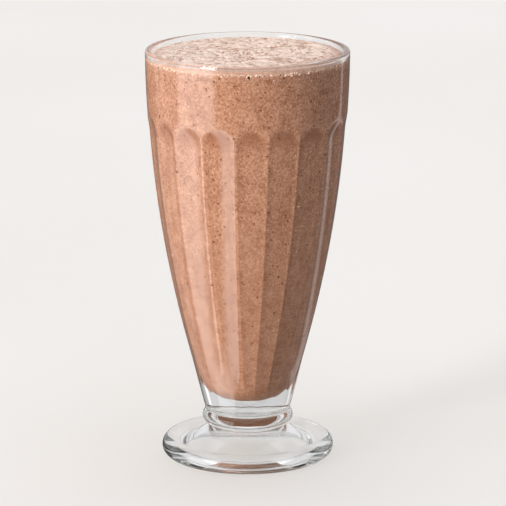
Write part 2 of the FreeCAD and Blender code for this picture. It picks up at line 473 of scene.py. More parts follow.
@dataclass(frozen=True)
class ClearGlass:
    """Clear pressed glass, smooth, that soaks up a little light along its thickness."""

    name: str = "clear_pressed_glass"
    soaked: Tint = (0.44, 0.48, 0.45, 1.0)
    density: float = 12.0
    refraction: float = 1.5
    let_through: Tint = (0.98, 0.98, 0.98, 1.0)

    def make(self) -> bpy.types.Material:
        """Refracting glass that lets the rays from lamps and soft light straight through.

        Returns:
            The material.
        """
        material = bpy.data.materials.new(self.name)
        graph = Graph(material)
        body = graph.node("ShaderNodeBsdfPrincipled", {}, {
            "Base Color": (1.0, 1.0, 1.0, 1.0), "Roughness": 0.0, "IOR": self.refraction,
            "Transmission Weight": 1.0})
        passing = graph.node("ShaderNodeBsdfTransparent", {}, {"Color": self.let_through})
        shadow = graph.node("ShaderNodeLightPath", {}, {}, "Is Shadow Ray")
        diffuse = graph.node("ShaderNodeLightPath", {}, {}, "Is Diffuse Ray")
        lit = graph.node("ShaderNodeMixShader", {}, {0: diffuse, 1: body, 2: passing})
        graph.finish(graph.node("ShaderNodeMixShader", {}, {0: shadow, 1: lit, 2: passing}))
        depth = graph.node("ShaderNodeVolumeAbsorption", {}, {
            "Color": self.soaked, "Density": self.density})
        graph.finish(depth, socket="Volume")
        return material


@dataclass(frozen=True)
class Mottling:
    """How blended chocolate milk varies: clouds, fine grain and ring-shaped bubbles."""

    deep: Tint = (0.25, 0.096, 0.047, 1.0)
    light: Tint = (0.505, 0.27, 0.17, 1.0)
    grain_cell: float = 0.95 * MM
    cloud_cell: float = 6.0 * MM
    bubble_cell: float = 1.6 * MM
    ring_inside: tuple[float, float] = (0.1, 0.2)
    ring_outside: tuple[float, float] = (0.2, 0.34)
    mean: float = 0.43
    grain_low: float = 1.1
    grain_gain: float = 1.1
    coarse_from: float = 60.0 * MM
    coarse_to: float = 165.0 * MM
    cloud_weight: float = 0.8
    bubble_weight: float = 0.2
    break_up: float = 1.4

    def colour(self, graph: Graph, pale: Tint, froth: Shade) -> Shade:
        """Blend the deep and the light brown, and froth broken up by the same grain.

        Args:
            graph: the material's tree.
            pale: the colour of froth.
            froth: share of froth at each place.

        Returns:
            The colour.
        """
        grain = graph.noise(self.grain_cell, 3.0, 0.7) - 0.5
        cloud = graph.noise(self.cloud_cell, 4.0, 0.6, 0.6) - 0.5
        ring = graph.cells(self.bubble_cell)
        rim = ring.ramp(*self.ring_inside) - ring.ramp(*self.ring_outside)
        coarse = graph.height().ramp(self.coarse_from, self.coarse_to) * self.grain_gain + self.grain_low
        share = grain * coarse + cloud * self.cloud_weight + rim * self.bubble_weight + self.mean
        brown = graph.mix(share.ramp(0.0, 1.0), self.deep, self.light)
        broken = froth + grain * froth * self.break_up
        return graph.mix(broken.ramp(0.0, 1.0), brown, pale)


@dataclass(frozen=True)
class ShakeFinish:
    """Opaque chocolate milk: mottled, paler near the froth, with painted shade under the flutes' arches and
    painted light lines behind the ridges.
    """

    name: str = "chocolate_shake"
    mottling: Mottling = Mottling()
    pale: Tint = colour(216, 176, 150)
    fade: float = 9.0 * MM
    froth_share: float = 0.16
    # Painted shade: deep brown under the flutes' arches, fading downwards.
    arch_shade_fade: float = 15.0 * MM
    arch_shade_full: float = 3.0 * MM
    arch_shade_share: float = 0.95
    arch_shade_press: tuple[float, float] = (0.3, 0.95)
    # Painted light: a lighter line behind each ridge, below the arches.
    ridge_light_drop: float = 9.0 * MM
    ridge_light_from: float = 40.0 * MM
    ridge_light_to: float = 70.0 * MM
    ridge_light_share: float = 0.45
    ridge_light_press: tuple[float, float] = (0.0, 0.4)
    roughness: float = 0.5
    specular: float = 0.2

    def make(self, top: float, arch_top: float) -> bpy.types.Material:
        """Mottled brown, with painted shade under each flute's arch and a painted light line behind each
        ridge.

        Args:
            top: height of the shake's upper face.
            arch_top: height of the flutes' arches.

        Returns:
            The material, which reads the mesh's "press" attribute.
        """
        material = bpy.data.materials.new(self.name)
        graph = Graph(material)
        height = graph.height()
        near_top = height.ramp(top - self.fade, top + self.fade) * self.froth_share
        blended = self.mottling.colour(graph, self.pale, near_top)
        press = graph.stored("press")
        # Painted shade under each flute's arch, where the flutes are pressed deepest.
        upper = height.ramp(arch_top - self.arch_shade_fade, arch_top - self.arch_shade_full)
        arch = press.ramp(*self.arch_shade_press) * upper * self.arch_shade_share
        blended = graph.mix(arch, blended, self.mottling.deep)
        # Painted light line behind each ridge, below the arches and above the bottom.
        below = 1.0 - height.ramp(arch_top - self.ridge_light_drop, arch_top)
        ridge = (1.0 - press.ramp(*self.ridge_light_press)) * below * height.ramp(self.ridge_light_from, self.ridge_light_to)
        blended = graph.mix(ridge * self.ridge_light_share, blended, self.mottling.light)
        graph.finish(graph.node("ShaderNodeBsdfPrincipled", {}, {
            "Base Color": blended, "Roughness": self.roughness, "Specular IOR Level": self.specular}))
        return material


@dataclass(frozen=True)
class FrothFinish:
    """Pale cocoa froth: light on its folds, brown in its creases, shake-brown at its side."""

    name: str = "cocoa_froth"
    mottling: Mottling = Mottling()
    crest: Tint = colour(240, 217, 200)
    crease: Tint = colour(176, 124, 96)
    side: Tint = colour(226, 188, 166)
    rise: float = 1.9 * MM
    foam_low: float = 0.08
    foam_gain: float = 0.3
    grain_cell: float = 0.5 * MM
    cloud_cell: float = 9.0 * MM
    spread: float = 0.7
    crest_share: tuple[float, float] = (0.12, 0.72)
    bump_strength: float = 0.35
    bump_depth: float = 0.15 * MM
    roughness: float = 0.42
    specular: float = 0.35

    def make(self, contact: float) -> bpy.types.Material:
        """Colour by the relief on top and by height at the side.

        Args:
            contact: height at which the froth leaves the glass.

        Returns:
            The material, which reads the mesh's "relief" and "aside" attributes.
        """
        material = bpy.data.materials.new(self.name)
        graph = Graph(material)
        foam = graph.height().ramp(contact - self.rise, contact) * self.foam_gain + self.foam_low
        wall = self.mottling.colour(graph, self.side, foam)
        grain = graph.noise(self.grain_cell, 2.0, 0.6)
        cloud = graph.noise(self.cloud_cell, 3.0, 0.6, 0.8)
        share = graph.stored("relief") + (grain - 0.5) * self.spread + (cloud - 0.5) * self.spread
        top = graph.mix(share.ramp(*self.crest_share), self.crease, self.crest)
        bump = graph.node("ShaderNodeBump", {}, {
            "Strength": self.bump_strength, "Distance": self.bump_depth, "Height": grain})
        graph.finish(graph.node("ShaderNodeBsdfPrincipled", {}, {
            "Base Color": graph.mix(graph.stored("aside"), top, wall), "Roughness": self.roughness,
            "Normal": bump, "Specular IOR Level": self.specular}))
        return material


@dataclass(frozen=True)
class PatchyFinish:
    """A matt finish of two close tones in soft patches, for small particles and the table."""

    name: str
    dark: Tint
    light: Tint
    cell: float = 1.1 * MM
    roughness: float = 0.8
    specular: float = 0.05
    patches: tuple[float, float] = (0.3, 0.7)

    def make(self) -> bpy.types.Material:
        """Blend the two tones by one cloudy noise.

        Returns:
            The material.
        """
        material = bpy.data.materials.new(self.name)
        graph = Graph(material)
        tone = graph.noise(self.cell, 1.0).ramp(*self.patches)
        graph.finish(graph.node("ShaderNodeBsdfPrincipled", {}, {
            "Base Color": graph.mix(tone, self.dark, self.light), "Roughness": self.roughness,
            "Specular IOR Level": self.specular}))
        return material


# ---------------------------------------------------------------- the glass and its contents


@dataclass
class PressedGlass:
    """The glass: one turned outline with flutes pressed into the outside of the bowl."""

    rim_radius: float = 44.05 * MM
    lip_round: float = 1.1 * MM
    lip_inset: float = 0.02 * MM
    lip_ease: float = 1.02
    band_height: float = 35.0 * MM
    band_flare: float = 1.55 * MM
    band_round: float = 430.0 * MM
    bowl_round: float = 515.0 * MM
    taper_radius: float = 25.4 * MM
    taper_height: float = 46.3 * MM
    bowl_foot_radius: float = 18.9 * MM
    bowl_foot_height: float = 22.6 * MM
    collar_radius: float = 18.2 * MM
    collar_top: float = 22.3 * MM
    collar_bottom: float = 20.4 * MM
    collar_round: float = 1.15 * MM
    ring_round: float = 3.7 * MM
    neck_radius: float = 16.9 * MM
    neck_height: float = 13.8 * MM
    foot_radius: float = 37.5 * MM
    bead_round: float = 4.15 * MM
    bead_turn: float = math.radians(150.5)
    sweep_round: float = 28.0 * MM
    land_width: float = 2.1 * MM
    land_round: float = 0.8 * MM
    hollow_height: float = 15.0 * MM
    hollow_top_radius: float = 8.1 * MM
    hollow_round: float = 22.0 * MM
    flute_count: int = 18
    flute_turn: float = math.radians(-7.2)
    flute_round: float = 55.0 * MM
    flute_bite: float = 0.25 * MM
    flute_soft: float = 0.11 * MM
    arch_height: float = 10.2 * MM
    arch_round: float = 24.0 * MM
    wall_at_rim: float = 2.45 * MM
    wall_at_band: float = 3.2 * MM
    wall_at_taper: float = 8.0 * MM
    wall_at_floor: float = 7.95 * MM
    base_thickness: float = 4.8 * MM
    cavity_round: float = 441.0 * MM
    floor_round: float = 12.0 * MM
    columns_per_flute: int = 18
    bunching: float = 0.8
    arch_margin: float = 2.0 * MM
    rows: int = 296

    @property
    def top(self) -> float:
        """Height of the rim."""
        return GLASS_TOP

    @property
    def band_bottom(self) -> float:
        """Height at which the smooth band ends and the flutes' arches begin."""
        return self.top - self.band_height

    @property
    def shoulder(self) -> float:
        """Outside radius at the bottom of the smooth band."""
        return self.rim_radius - self.band_flare

    @property
    def floor(self) -> float:
        """Height of the cavity's floor."""
        return self.bowl_foot_height + self.base_thickness

    def rounded(self, before: tuple[float, float], corner: tuple[float, float],
                after: tuple[float, float], radius: float) -> tuple[tuple, tuple, float]:
        """Where a fillet leaves both sides of a corner, and its signed radius.

        Both tangent points lie radius / tan(half the corner's angle) from the corner.

        Args:
            before: a point on the side that comes in.
            corner: the corner itself.
            after: a point on the side that goes out.
            radius: of the fillet.

        Returns:
            The first tangent point, the last one, and the radius with its turning sign.
        """
        here = np.asarray(corner)
        back = (np.asarray(before) - here) / np.hypot(*(np.asarray(before) - here))
        on = (np.asarray(after) - here) / np.hypot(*(np.asarray(after) - here))
        reach = radius / math.tan(math.acos(float(back @ on)) / 2.0)
        turn = on[0] * back[1] - on[1] * back[0]
        return tuple(here + back * reach), tuple(here + on * reach), math.copysign(radius, turn)

    def cavity_wall(self) -> Array:
        """The inside of the wall, from the floor's middle up to the rim.

        Returns:
            (radius, height) rows.
        """
        floor_corner = (self.bowl_foot_radius - self.wall_at_floor, self.floor)
        taper = (self.taper_radius - self.wall_at_taper, self.taper_height)
        band = (self.shoulder - self.wall_at_band, self.band_bottom)
        rim = (self.rim_radius - self.wall_at_rim, self.top)
        first, last, turn = self.rounded((0.0, self.floor), floor_corner, taper, self.floor_round)
        return joined(
            line((0.0, self.floor), first), arc(first, last, turn), line(last, taper),
            arc(taper, band, self.cavity_round), line(band, rim))

    def cavity_radius(self, height: Array) -> Array:
        """Inside radius at heights above the floor.

        Args:
            height: of each place.

        Returns:
            One radius for each height, between the flutes.
        """
        wall = self.cavity_wall()
        rising = wall[wall[:, 1] > self.floor]
        return np.interp(height, rising[:, 1], rising[:, 0])

    def outside(self) -> Array:
        """The outline from the hollow's middle under the foot, round the foot and bowl, to the rim.

        Returns:
            (radius, height) rows.
        """
        stand = self.foot_radius - self.bead_round
        crease = (stand + self.bead_round * math.cos(self.bead_turn),
                  self.bead_round + self.bead_round * math.sin(self.bead_turn))
        hollow_rim = (stand - self.land_width, 0.0)
        hollow_top = (self.hollow_top_radius, self.hollow_height)
        dome = self.rounded((0.0, self.hollow_height), hollow_top, hollow_rim, self.hollow_round)
        land = self.rounded(hollow_top, hollow_rim, (stand, 0.0), self.land_round)
        neck = (self.neck_radius, self.neck_height)
        collar = (self.collar_radius, self.collar_bottom)
        notch = (self.collar_radius, self.collar_top)
        bowl_foot = (self.bowl_foot_radius, self.bowl_foot_height)
        taper = (self.taper_radius, self.taper_height)
        shoulder = (self.shoulder, self.band_bottom)
        lip_low = (self.rim_radius - self.lip_inset, self.top - self.lip_round)
        lip_high = (self.rim_radius - self.lip_round, self.top)
        return joined(
            line((0.0, self.hollow_height), dome[0]), arc(*dome), line(dome[1], land[0]),
            arc(*land), line(land[1], (stand, 0.0)),
            arc((stand, 0.0), (self.foot_radius, self.bead_round), self.bead_round),
            arc((self.foot_radius, self.bead_round), crease, self.bead_round),
            arc(crease, neck, -self.sweep_round), arc(neck, collar, self.ring_round),
            arc(collar, notch, self.collar_round), line(notch, bowl_foot), line(bowl_foot, taper),
            arc(taper, shoulder, self.bowl_round), arc(shoulder, lip_low, self.band_round),
            arc(lip_low, lip_high, self.lip_round))

    def outline(self) -> Array:
        """Outside, lip and cavity as one outline from axis to axis.

        Returns:
            (radius, height) rows.
        """
        inside = self.cavity_wall()[::-1]
        lip_out = (self.rim_radius - self.wall_at_rim + self.lip_round, self.top)
        below = inside[inside[:, 1] < self.top - self.lip_round]
        lip = arc(lip_out, tuple(below[0]), self.lip_round * self.lip_ease)
        return joined(self.outside(), line(self.outside()[-1], lip_out, 4), lip, below)

    def flute_floor(self, ridge: float) -> float:
        """Radius at a flute's middle.

        It is the distance of the chord between two ridges, less the dip of the flute's
        hollow, half width squared over twice its radius, and less the bite.

        Args:
            ridge: radius at which the ridges on both sides stand.

        Returns:
            The radius.
        """
        half_turn = math.pi / self.flute_count
        half_width = ridge * math.sin(half_turn)
        dip = half_width ** 2 / (2.0 * self.flute_round)
        return ridge * math.cos(half_turn) - dip - self.flute_bite

    def flute_profile(self) -> Array:
        """The middle line of a flute, up through its arch.

        Returns:
            (radius, height) rows.
        """
        foot = self.flute_floor(self.bowl_foot_radius)
        taper = (self.flute_floor(self.taper_radius), self.taper_height)
        shoulder = (self.flute_floor(self.shoulder), self.band_bottom)
        arch = (self.rim_radius, self.band_bottom + self.arch_height)
        return joined(
            line((foot, self.collar_top), (foot, self.bowl_foot_height), 4),
            line((foot, self.bowl_foot_height), taper),
            arc(taper, shoulder, self.bowl_round), arc(shoulder, arch, -self.arch_round))

    def flute_radius(self, height: Array, angle: Array) -> Array:
        """Distance from the axis to the hollow face of the nearest flutes.

        A flute's face is a circle about an upright axis at distance a, of radius
        a - m where m is the flute's middle.  Along an angle t from the flute's middle
        the face lies at a cos t - sqrt((a - m)^2 - (a sin t)^2).

        Args:
            height: of each point.
            angle: of each point, in the same shape.

        Returns:
            The soft minimum over the nearest flute and its neighbours, very large
            where no flute reaches.
        """
        profile = self.flute_profile()
        middle = np.interp(height, profile[:, 1], profile[:, 0])
        away = self.flute_floor(self.shoulder) + self.flute_round
        pitch = 2.0 * math.pi / self.flute_count
        near = (angle - self.flute_turn + pitch / 2.0) % pitch - pitch / 2.0
        total = np.zeros_like(height)
        for step in (-1, 0, 1):
            turn = near + step * pitch
            room = np.maximum((away - middle) ** 2 - (away * np.sin(turn)) ** 2, 0.0)
            total += np.exp(-(away * np.cos(turn) - np.sqrt(room)) / self.flute_soft)
        face = -self.flute_soft * np.log(np.maximum(total, TINY))
        outside = (height < self.collar_top) | (height > profile[-1, 1])
        return np.where(outside, 1.0, face)

    def bowl_outline(self) -> Array:
        """The outside from the notch over the ring up to the rim, without flutes or lip.

        Returns:
            (radius, height) rows.
        """
        taper = (self.taper_radius, self.taper_height)
        shoulder = (self.shoulder, self.band_bottom)
        return joined(
            line((self.collar_radius, self.collar_top), (self.bowl_foot_radius, self.bowl_foot_height)),
            line((self.bowl_foot_radius, self.bowl_foot_height), taper),
            arc(taper, shoulder, self.bowl_round),
            arc(shoulder, (self.rim_radius, self.top), self.band_round))

    def pressed_depth(self, turned: Array, face: Array) -> Array:
        """How deep the face lies under the turned radius, as a soft maximum with zero."""
        depth = np.clip((turned - face) / self.flute_soft, -SAFE_POWER, SAFE_POWER)
        return self.flute_soft * np.log1p(np.exp(depth))

    def columns(self) -> Array:
        """Angles of the mesh's columns, closer together near the ridges between flutes.

        Returns:
            The angles, from the first flute's middle once round the axis.
        """
        pitch = 2.0 * math.pi / self.flute_count
        share = np.arange(self.columns_per_flute) / self.columns_per_flute
        bunched = share + self.bunching / (2.0 * math.pi) * np.sin(2.0 * math.pi * share)
        middles = self.flute_turn + np.arange(self.flute_count)[:, None] * pitch
        return (middles + pitch * bunched).ravel()

    def arch_heights(self) -> Array:
        """The stretch of heights in which the arches lie, which needs closer rows."""
        return np.array([self.band_bottom - self.arch_margin, self.band_bottom + self.arch_height])

    def build(self) -> bpy.types.Object:
        """Turn the outline and press the flutes into it.

        The radius is the soft minimum of the turned outline and the flutes' faces.  The
        pressing fades towards the ring under the bowl, where the flutes run out.

        Returns:
            The glass.
        """
        rows = Sampling(self.rows).rows_of(self.outline(), self.arch_heights())
        angle = self.columns()
        radius = np.repeat(rows[:, :1], len(angle), axis=1)
        height = np.repeat(rows[:, 1:], len(angle), axis=1)
        crest = int(np.argmax(rows[:, 1]))
        bowl = (np.arange(len(rows)) < crest) & (rows[:, 1] > self.collar_top)
        face = self.flute_radius(height[bowl], np.broadcast_to(angle, height[bowl].shape))
        run_out = smooth_step(self.collar_top, self.taper_height, height[bowl])
        radius[bowl] -= self.pressed_depth(radius[bowl], face) * run_out
        piece = turned_mesh("glass_shell", radius, height, angle)
        piece.data.materials.append(ClearGlass().make())
        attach(piece, ROOT_BODY)
        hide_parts("glass")
        log.info("glass_shell: %d faces", len(piece.data.polygons))
        return piece


@dataclass
class ShakeBody:
    """The shake: the cavity up to the froth, reaching just into the wall."""

    glass: PressedGlass
    reach: float = 0.12 * MM
    flute_echo: float = 0.9
    full_depth: float = 1.2 * MM
    edge_share: float = 0.6
    fade_top: float = 16.0 * MM
    fade_bottom: float = 14.0 * MM
    grow_within: float = 6.0 * MM
    top_margin: float = 1.0 * MM
    rows: int = 210

    def build(self) -> bpy.types.Object:
        """Turn the cavity's outline, widened by reach and by an echo of the flutes.

        All but the upper face is also let down by reach, so that the bottom lies just
        inside the glass as well.

        Returns:
            The shake.
        """
        glass = self.glass
        wall = glass.cavity_wall()
        level = SHAKE_TOP
        side = np.vstack([wall[wall[:, 1] < level], [glass.cavity_radius(level), level]])
        outline = joined(side, line(tuple(side[-1]), (0.0, level)))
        sampling = Sampling(self.rows, soften=0.1 * MM, long_step=1.5 * MM)
        rows = sampling.rows_of(outline, glass.arch_heights())
        angle = glass.columns()
        radius = np.repeat(rows[:, :1], len(angle), axis=1)
        height = np.repeat(rows[:, 1:], len(angle), axis=1)
        grown = smooth_step(0.0, self.grow_within, rows[:, 0])[:, None]
        radius = radius + (self.reach + self.echo(height, angle)) * grown
        height = height - self.reach * (rows[:, 1:] < level - self.top_margin)
        piece = turned_mesh("shake_body", radius, height, angle)
        # The flutes' depth, which places the finish's painted shade under the arches and painted light
        # lines at the ridges.
        store(piece, "press", self.pressed(height, angle))
        piece.data.materials.append(ShakeFinish().make(level, glass.band_bottom + glass.arch_height))
        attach(piece, ROOT_BODY)
        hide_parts("milkshake")
        log.info("shake_body: %d faces", len(piece.data.polygons))
        return piece

    def pressed(self, height: Array, angle: Array) -> Array:
        """How deep the flutes are at each place.

        Args:
            height: of each place.
            angle: of each place, or of each column.

        Returns:
            0 on a ridge and on the smooth band, and nearly 1 at a flute's middle.
        """
        glass = self.glass
        outside = glass.bowl_outline()
        turned = np.interp(height, outside[:, 1], outside[:, 0])
        face = glass.flute_radius(height, np.broadcast_to(angle, height.shape))
        return np.tanh(glass.pressed_depth(turned, face) / (self.edge_share * self.full_depth))

    def echo(self, height: Array, angle: Array) -> Array:
        """How far the flutes push the shake's side outwards, arches included.

        The push is a constant depth less the depth of the flute there, so a ridge and
        the band above the arches stand out by the whole depth.  It fades to nothing
        below the froth and round the bottom.

        Args:
            height: of each place.
            angle: of each place, or of each column.

        Returns:
            The push in metres.
        """
        top = 1.0 - smooth_step(SHAKE_TOP - self.fade_top, SHAKE_TOP, height)
        bottom = smooth_step(self.glass.floor, self.glass.floor + self.fade_bottom, height)
        depth = self.full_depth * self.pressed(height, angle)
        return self.flute_echo * (self.full_depth * top - depth) * bottom


@dataclass
class FrothCap:
    """The froth: pale, flush with the wall at the side, folded and pitted on top."""

    glass: PressedGlass
    contact_drop: float = 3.3 * MM
    reach: float = 0.12 * MM
    edge: float = 1.9 * MM
    crown: float = 1.5 * MM
    swirl: float = 0.9
    swirl_reach: float = 16.0 * MM
    push_cell: float = 9.0 * MM
    push: float = 3.5 * MM
    folds: tuple[tuple[float, float], ...] = ((6.5 * MM, 0.28), (2.9 * MM, 0.34), (1.3 * MM, 0.38))
    fold_gain: float = 1.7
    fold_height: float = 0.42 * MM
    fold_mean: float = 0.65
    fold_edge: float = 3.0 * MM
    calm_share: float = 0.25
    crest_gain: float = 1.25
    top_ease: float = 1.02
    pit_depth: float = 0.7 * MM
    pit_count: int = 70
    pit_smallest: float = 0.25 * MM
    pit_spread: float = 0.17 * MM
    highest: float = FROTH_HIGH.z + 0.3 * MM
    browned: float = 6.2 * MM
    browned_spread: float = 0.85
    browned_turn: float = math.radians(-68.0)
    browned_power: float = 0.8
    columns: int = 420
    side_rows: int = 12
    top_rows: int = 205
    seed: int = 11

    @property
    def contact(self) -> float:
        """Height at which the froth leaves the glass."""
        return GLASS_TOP - self.contact_drop

    def relief(self, place: Array) -> Array:
        """Folds of the froth.

        The places are turned more towards the middle and pushed about by slow noise.
        The absolute value of noise then makes rounded folds with sharp creases, at
        several sizes, each with its share.

        Args:
            place: (..., 2) positions.

        Returns:
            0 in a crease and up to 1 on a fold.
        """
        far = np.hypot(place[..., 0], place[..., 1])
        turn = self.swirl * np.exp(-far / self.swirl_reach)
        spun = np.stack([
            place[..., 0] * np.cos(turn) - place[..., 1] * np.sin(turn),
            place[..., 0] * np.sin(turn) + place[..., 1] * np.cos(turn)], axis=-1)
        push = np.stack([lattice_noise(spun, self.push_cell, self.seed + k) for k in (1, 2)], axis=-1)
        moved = spun + push * self.push
        total = np.zeros(place.shape[:-1])
        for extra, (cell, share) in enumerate(self.folds, start=3):
            total += share * np.abs(lattice_noise(moved, cell, self.seed + extra))
        return np.clip(total * self.fold_gain, 0.0, 1.0)

    def pits(self, place: Array) -> Array:
        """Burst bubbles, scattered evenly over the top.

        Args:
            place: (..., 2) positions.

        Returns:
            1 at a pit's middle, 0 outside every pit.
        """
        rng = np.random.default_rng(self.seed)
        reach = FROTH_HIGH.x - self.fold_edge
        far = reach * np.sqrt(rng.uniform(0.0, 1.0, self.pit_count))
        way = rng.uniform(0.0, 2.0 * math.pi, self.pit_count)
        size = rng.gamma(3.0, self.pit_spread, self.pit_count) + self.pit_smallest
        depth = np.zeros(place.shape[:-1])
        for x, y, radius in zip(far * np.cos(way), far * np.sin(way), size):
            gap = np.hypot(place[..., 0] - x, place[..., 1] - y) / radius
            depth = np.maximum(depth, np.clip(1.0 - gap * gap, 0.0, 1.0))
        return depth

    def outline(self) -> Array:
        """The froth's outline from its underside up the wall and in over the crown.

        The edge falls from the crown's height to the contact line as the square of how
        near it is to the wall.

        Returns:
            (radius, height) rows.
        """
        side_height = np.linspace(FROTH_LOW.z, self.contact, self.side_rows)
        side_radius = self.glass.cavity_radius(side_height) + self.reach
        under = np.array([[0.0, FROTH_LOW.z], [side_radius[0] * 0.5, FROTH_LOW.z]])
        share = np.linspace(0.0, 1.0, self.top_rows)[1:]
        far = side_radius[-1] * (1.0 - share ** self.top_ease)
        fall = (1.0 - np.clip((side_radius[-1] - far) / self.edge, 0.0, 1.0)) ** 2
        top = np.column_stack([far, self.contact + self.crown * (1.0 - fall)])
        return np.vstack([under, np.column_stack([side_radius, side_height]), top])

    def edge_share(self, angle: Array, inward: Array) -> Array:
        """How much of the side's brown shows on top: a rim, widest towards browned_turn.

        Args:
            angle: of each column.
            inward: distance from the wall.

        Returns:
            1 at the wall, 0 beyond the rim.
        """
        width = self.browned * (1.0 + self.browned_spread * np.cos(angle - self.browned_turn))
        return (1.0 - smooth_step(0.0, width, inward)) ** self.browned_power

    def build(self) -> bpy.types.Object:
        """Turn the outline, and raise the folds and sink the pits on top.

        Returns:
            The froth.
        """
        rows = self.outline()
        angle = ring_angles(self.columns)
        radius = np.repeat(rows[:, :1], len(angle), axis=1)
        height = np.repeat(rows[:, 1:], len(angle), axis=1)
        place = np.stack([radius * np.cos(angle), radius * np.sin(angle)], axis=-1)
        on_top = (np.arange(len(rows)) > len(rows) - self.top_rows)[:, None]
        inward = self.glass.cavity_radius(self.contact) + self.reach - radius
        folds = self.relief(place)
        pits = self.pits(place)
        lift = (folds - self.fold_mean) * self.fold_height - pits * self.pit_depth
        rough = smooth_step(0.0, self.fold_edge, inward)
        calm = self.calm_share + (1.0 - self.calm_share) * rough
        height = np.minimum(height + np.where(on_top, lift * calm, 0.0), self.highest)
        piece = turned_mesh("froth_cap", radius, height, angle)
        store(piece, "relief", np.clip(folds * self.crest_gain - pits, 0.0, 1.0))
        store(piece, "aside", np.where(on_top, self.edge_share(angle, inward), 1.0))
        piece.data.materials.append(FrothFinish().make(self.contact))
        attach(piece, ROOT_BODY)
        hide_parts("froth")
        log.info("froth_cap: %d faces", len(piece.data.polygons))
        return piece


@dataclass(frozen=True)
class Flecks:
    """Many small lumps of one kind as a single mesh: each a flattened ball of 20 faces."""

    name: str
    finish: PatchyFinish
    slot: Slot
    seed: int
    flat: float
    rough: float

    def ball(self) -> tuple[Array, Array]:
        """Corners and faces of an icosahedron of radius one.

        Returns:
            12 points, and 20 triangles as point numbers.
        """
        golden = (1.0 + math.sqrt(5.0)) / 2.0
        points = np.array([
            [-1, golden, 0], [1, golden, 0], [-1, -golden, 0], [1, -golden, 0],
            [0, -1, golden], [0, 1, golden], [0, -1, -golden], [0, 1, -golden],
            [golden, 0, -1], [golden, 0, 1], [-golden, 0, -1], [-golden, 0, 1]], float)
        faces = np.array([
            [0, 11, 5], [0, 5, 1], [0, 1, 7], [0, 7, 10], [0, 10, 11], [1, 5, 9], [5, 11, 4],
            [11, 10, 2], [10, 7, 6], [7, 1, 8], [3, 9, 4], [3, 4, 2], [3, 2, 6], [3, 6, 8],
            [3, 8, 9], [4, 9, 5], [2, 4, 11], [6, 2, 10], [8, 6, 7], [9, 8, 1]])
        return points / np.hypot(1.0, golden), faces

    def build(self, centre: Array, outward: Array, size: Array) -> bpy.types.Object:
        """Place one lump at each centre.

        A lump's points are the ball's, each pushed in or out a little at random, then
        scaled by its size across, upwards and outwards, where it is flattened too.

        Args:
            centre: N by 3 places.
            outward: N by 3 level directions of unit length.
            size: N by 3 half sizes: across, upwards and outwards.

        Returns:
            The joined mesh object, riding on the body.
        """
        rng = np.random.default_rng(self.seed)
        ball, faces = self.ball()
        up = np.array([0.0, 0.0, 1.0])
        across = np.cross(up, outward)
        push = 1.0 + rng.uniform(-self.rough, self.rough, (len(centre), len(ball), 1))
        local = ball[None] * push * size[:, None] * [1.0, 1.0, self.flat]
        points = (centre[:, None] + local[..., :1] * across[:, None] + local[..., 1:2] * up
                  + local[..., 2:] * outward[:, None])
        offset = len(ball) * np.arange(len(centre))[:, None, None]
        triangles = (faces[None] + offset).reshape(-1, 3)
        piece = mesh_object(self.name, points.reshape(-1, 3), np.empty((0, 4), int), triangles)
        piece.data.materials.append(self.finish.make())
        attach(piece, ROOT_BODY)
        log.info("%s: %d lumps", self.name, len(centre))
        return piece


